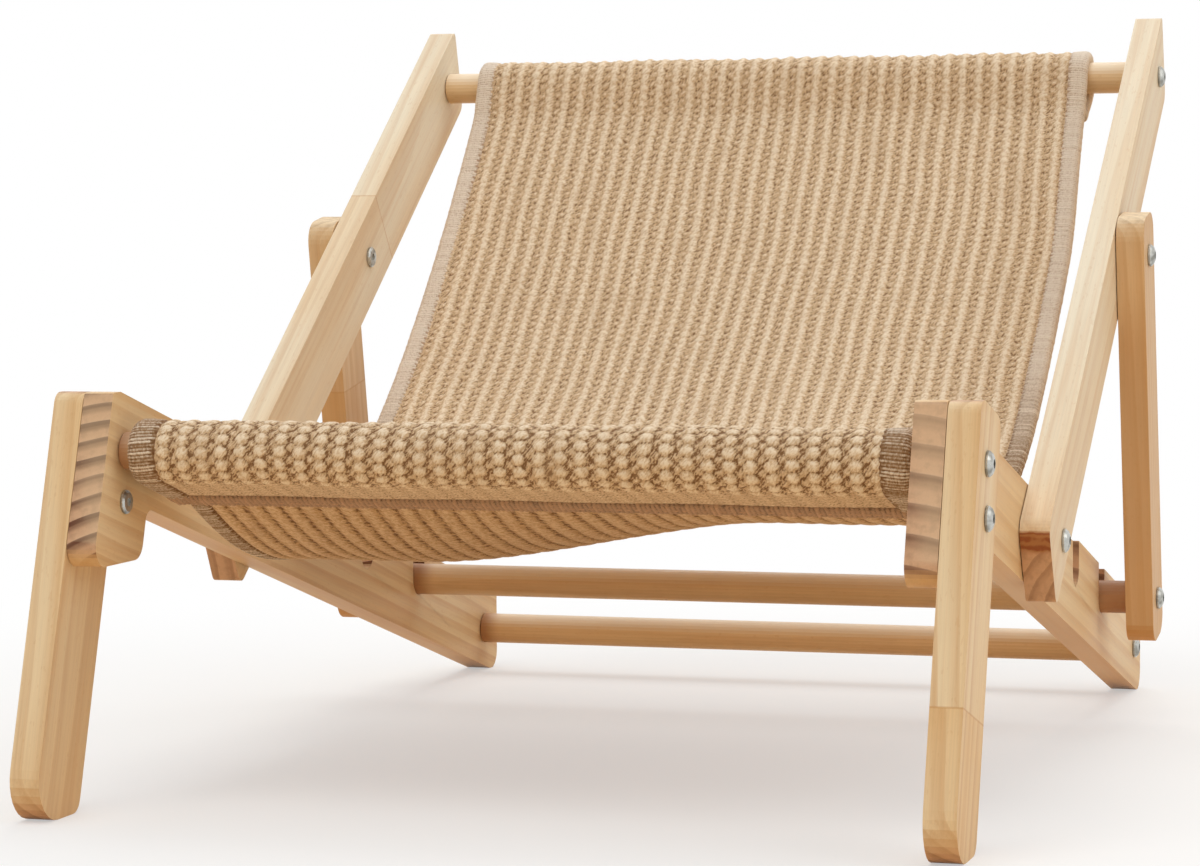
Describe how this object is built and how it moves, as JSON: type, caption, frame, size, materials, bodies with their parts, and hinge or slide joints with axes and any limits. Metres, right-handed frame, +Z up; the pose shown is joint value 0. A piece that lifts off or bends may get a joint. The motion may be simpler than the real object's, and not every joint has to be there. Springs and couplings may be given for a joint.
{
  "type": "hammock chair",
  "caption": "Low wooden deck chair for a pet with a woven sling, a hinged backrest and a prop that drops into notches.",
  "frame": {"origin": "on the floor under the middle of the chair's outer size", "axes": "+X to the right of someone who faces the chair's front, +Y to the rear, +Z up"},
  "size_m": [0.4866, 0.6139, 0.393],
  "materials": {
    "pine_board": "satin",
    "dowel_pine": "satin",
    "woven_sisal": "matte",
    "zinc_plated_steel": "satin",
    "insert_brass": "satin"
  },
  "bodies": {
    "base": {"left_seat_rail": "pine_board", "right_seat_rail": "pine_board", "left_front_leg": "pine_board", "right_front_leg": "pine_board", "front_rod": "dowel_pine", "rear_rod": "dowel_pine", "sling": "woven_sisal", "left_front_rod_bolt": "zinc_plated_steel", "right_front_rod_bolt": "zinc_plated_steel", "left_leg_bolt": "zinc_plated_steel", "right_leg_bolt": "zinc_plated_steel", "left_leg_bolt_nut": "zinc_plated_steel", "right_leg_bolt_nut": "zinc_plated_steel", "left_rear_rod_bolt": "zinc_plated_steel", "right_rear_rod_bolt": "zinc_plated_steel", "left_hinge_bolt": "zinc_plated_steel", "right_hinge_bolt": "zinc_plated_steel", "left_hinge_bolt_nut": "zinc_plated_steel", "right_hinge_bolt_nut": "zinc_plated_steel", "left_front_rod_insert": "insert_brass", "right_front_rod_insert": "insert_brass", "left_rear_rod_insert": "insert_brass", "right_rear_rod_insert": "insert_brass"},
    "backrest": {"left_back_post": "pine_board", "right_back_post": "pine_board", "top_rod": "dowel_pine", "left_top_rod_bolt": "zinc_plated_steel", "right_top_rod_bolt": "zinc_plated_steel", "left_strut_pivot_bolt": "zinc_plated_steel", "right_strut_pivot_bolt": "zinc_plated_steel", "left_strut_pivot_nut": "zinc_plated_steel", "right_strut_pivot_nut": "zinc_plated_steel", "left_top_rod_insert": "insert_brass", "right_top_rod_insert": "insert_brass"},
    "prop": {"left_prop_strut": "pine_board", "right_prop_strut": "pine_board", "prop_rod": "dowel_pine", "left_prop_rod_bolt": "zinc_plated_steel", "right_prop_rod_bolt": "zinc_plated_steel", "left_prop_rod_insert": "insert_brass", "right_prop_rod_insert": "insert_brass"}
  },
  "joints": [
    {"name": "backrest_fold", "type": "hinge", "parent": "base", "child": "backrest", "pos_m": [0, -0.04458, 0.11911], "axis": [1, 0, 0], "range_deg": [0, 108], "deforming": ["sling"]},
    {"name": "prop_swing", "type": "hinge", "parent": "backrest", "child": "prop", "pos_m": [0, 0.13205, 0.25814], "axis": [1, 0, 0], "range_deg": [-24, 0]}
  ],
  "couplings": [
    {"joint": "prop_swing", "follows": "backrest_fold", "ratio": -0.22}
  ]
}
